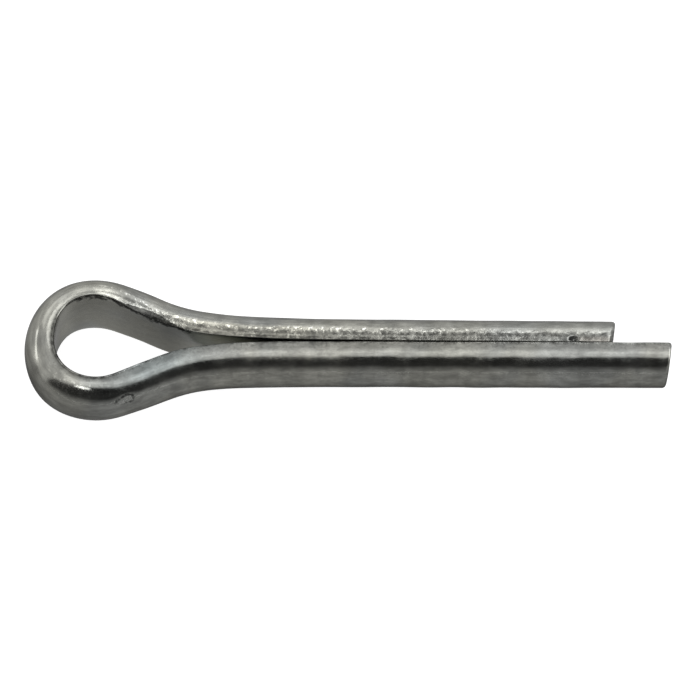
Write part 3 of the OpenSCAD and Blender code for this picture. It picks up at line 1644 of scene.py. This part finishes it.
@dataclass
class Studio:
    """The floor, the lamps, the sheets that the metal reflects, and the camera."""

    box: tuple[Vector, Vector]
    rest_z: float
    distance: float = 0.4
    floor_half: float = 1.5
    floor_colour: float = 0.55
    floor_lift: float = 0.86
    world_level: float = 0.56
    sheet_width: float = 2.6
    flag_top: float = math.radians(57.0)
    underlay_lift: float = 0.02 * MM
    underlay_reach: float = 20 * MM
    picture_fill: float = 0.927
    picture_shift: Pair = (0.244 * MM, 0.18 * MM)
    camera_distance: float = 0.3
    camera_range: Pair = (0.01, 10.0)
    azimuth: float = math.radians(-89.444)
    elevation: float = math.radians(65.72)
    lamps: tuple[Lamp, ...] = (
        Lamp("back_window", 105.0, 22.5, 76.0, 24.0, 0.35),
        Lamp("far_window", 82.5, 28.0, 10.0, 13.0, 1.3),
        Lamp("far_upper", 75.5, 55.0, 8.0, 26.0, 2.2),
        Lamp("window_upper", 126.0, 47.0, 30.0, 20.0, 0.6),
        Lamp("side_strip", 161.0, 2.0, 25.0, 8.0, 1.0),
        Lamp("right_window", -12.0, 25.0, 26.0, 46.0, 0.9),
        Lamp("front_softbox", -92.0, 70.0, 60.0, 17.0, 0.24),
        Lamp("top_softbox", -92.0, 78.0, 60.0, 14.0, 0.14),
        Lamp("front_left", -126.0, 60.0, 24.0, 14.0, 0.2),
        Lamp("front_spot", -112.0, 52.0, 17.0, 6.0, 1.7),
    )

    @property
    def centre(self) -> Vector:
        """Middle of the pin's box."""
        return (self.box[0] + self.box[1]) / 2

    def set_camera(self) -> None:
        """Set the camera at the view's angles, with a flat projection."""
        low, high = self.box
        right, up = self.picture_shift
        aim = Vector((self.centre.x + right, self.centre.y + up, 0.0))
        back = direction(self.azimuth, self.elevation)
        data = bpy.data.cameras.new("camera")
        data.type = "ORTHO"
        data.ortho_scale = (high.x - low.x) / self.picture_fill
        data.clip_start, data.clip_end = self.camera_range
        camera = new_object("camera", data)
        camera.location = aim + back * self.camera_distance
        camera.rotation_mode = "QUATERNION"
        camera.rotation_quaternion = (-back).to_track_quat("-Z", "Y")
        bpy.context.scene.camera = camera

    def shown(self, paint: Paint) -> Socket:
        """Add the test for the rays that show the background: camera, mirror or glass.

        Args:
            paint: Calls that lay the floor's nodes.

        Returns:
            1 for such a ray and 0 for any other.
        """
        rays = paint.node("LightPath").outputs
        mirror, glass = rays["Is Glossy Ray"], rays["Is Transmission Ray"]
        either = paint.maths("MAXIMUM", mirror, glass)
        return paint.maths("MAXIMUM", rays["Is Camera Ray"], either)

    def lay_floor(self) -> None:
        """Lay a plain pale floor, which keeps the pin's shadow."""
        half = self.floor_half
        mesh = bpy.data.meshes.new("floor")
        corners = [(-half, -half), (half, -half), (half, half), (-half, half)]
        mesh.from_pydata([(x, y, self.rest_z) for x, y in corners], [], [(0, 1, 2, 3)])
        floor = new_object("floor", mesh)
        material, paint = new_material("floor")
        lift = paint.product(self.shown(paint), self.floor_lift)
        grey = (self.floor_colour,) * 3 + (1.0,)
        matt = paint.node("BsdfDiffuse", {"Color": grey})
        glow = paint.node("Emission", {"Strength": lift})
        both = paint.node("AddShader", {0: matt.outputs[0], 1: glow.outputs[0]})
        paint.end(both.outputs[0])
        mesh.materials.append(material)

    def hang_sheets(self) -> None:
        """Stand a dark sheet in front of the pin and lay a grey one under it."""
        far, wide = self.distance, self.sheet_width * self.distance
        top = far * math.tan(self.flag_top)
        upright = ((-wide, 0.0), (wide, 0.0), (wide, top), (-wide, top))
        lift = self.rest_z + self.underlay_lift
        level = ((-wide, -far), (wide, -far), (wide, far), (-wide, far))
        Sheet(
            "front_flag",
            [(x, -far, z) for x, z in upright],
            [(0.0, 0.286), (0.097, 0.23), (0.194, 0.136), (0.317, 0.034), (1.0, 0.014)],
            Axis.UPWARDS,
            (0.0, top),
        ).hang()
        Sheet(
            "grey_underlay",
            [(x, y, lift) for x, y in level],
            [(0.0, 0.286), (0.38, 0.286), (0.45, 0.204), (0.6, 0.53), (1.0, 0.57)],
            Axis.ALONG_Y,
            (-self.underlay_reach, self.underlay_reach),
        ).hang()

    def light(self) -> None:
        """Light the pin evenly all round, and hang the lamps."""
        world = bpy.data.worlds.new("studio")
        world.use_nodes = True
        paint = Paint(world.node_tree)
        white = {"Color": (1.0, 1.0, 1.0, 1.0), "Strength": self.world_level}
        paint.end(paint.node("Background", white).outputs[0], "OutputWorld")
        bpy.context.scene.world = world
        for lamp in self.lamps:
            lamp.hang(self.centre, self.distance)

    def build(self) -> None:
        """Build the whole studio."""
        self.set_camera()
        self.lay_floor()
        self.hang_sheets()
        self.light()
        bpy.context.scene.view_settings.view_transform = "Standard"


def pin_from_frame() -> CotterPin:
    """Work out the pin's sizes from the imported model.

    Returns:
        The pin, whose wire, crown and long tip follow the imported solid, with the legs
        opened towards the neck as on the real pin.
    """
    low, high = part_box("cotter_pin")
    shank = next(m for m in frame["record"]["mounts"] if m["name"] == "shank")
    wire_r = shank["dims"]["r_mm"] * MM
    eye_r = 2.83 * MM
    crown_inset = 0.107 * MM
    short = HalfWire(
        side=Side.SHORT,
        flank_angle=math.radians(24.89),
        neck_r=10.55 * MM,
        easing=2.93 * MM,
        splay=math.radians(-0.08),
        fullness=0.08 * MM,
        thickening=0.0007,
        tip_x=26.61 * MM,
        tip_gap=-0.08 * MM,
        shear=math.radians(2.6),
        end_skew=0.11,
        end_edge_r=0.24 * MM,
    )
    long = HalfWire(
        side=Side.LONG,
        flank_angle=math.radians(22.95),
        neck_r=11.03 * MM,
        easing=2.22 * MM,
        splay=math.radians(0.35),
        fullness=-0.04 * MM,
        thickening=0.0002,
        tip_x=high.x + 0.1 * MM,
        tip_gap=0.0,
        shear=math.radians(6.0),
        end_skew=-0.07,
        end_edge_r=0.22 * MM,
    )
    pit = Mark(
        side=Side.SHORT,
        along=37.0 * MM,
        around=3.1 * MM,
        length=0.27 * MM,
        width=0.18 * MM,
        depth=0.16 * MM,
        rim=0.8,
        smudge=1.3,
    )
    scuff = Mark(
        side=Side.LONG,
        along=5.9 * MM,
        around=1.33 * MM,
        length=0.65 * MM,
        width=0.36 * MM,
        depth=0.06 * MM,
        rim=0.9,
        smudge=0.66,
    )
    shoulder = Mark(
        side=Side.LONG,
        along=3.9 * MM,
        around=1.15 * MM,
        length=2.3 * MM,
        width=0.85 * MM,
        depth=-0.14 * MM,
    )
    return CotterPin(
        outline=WireOutline(wire_r, 0.19 * MM),
        eye=Eye(low.x + wire_r + eye_r - crown_inset, -0.06 * MM, eye_r),
        halves=(short, long),
        marks=(shoulder, pit, scuff),
    )


def main() -> None:
    """Build the pin and the studio, and report each piece."""
    logging.basicConfig(level=logging.INFO, format="%(message)s")
    pin = pin_from_frame()
    wire = pin.build()
    pin.dress(wire)
    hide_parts("cotter_pin")
    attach(wire, "root")
    log.info("pin_wire: %d faces", len(wire.data.polygons))
    for half in pin.halves:
        side, length = half.side.name.lower(), pin.length(half)
        log.info("%s half: %.2f mm from crown to tip", side, length / MM)
    lowest = min(corner[2] for corner in wire.bound_box)
    Studio(CAD_BOX, lowest).build()
    log.info("studio: floor at %.2f mm", lowest / MM)


if __name__ == "__main__":
    main()
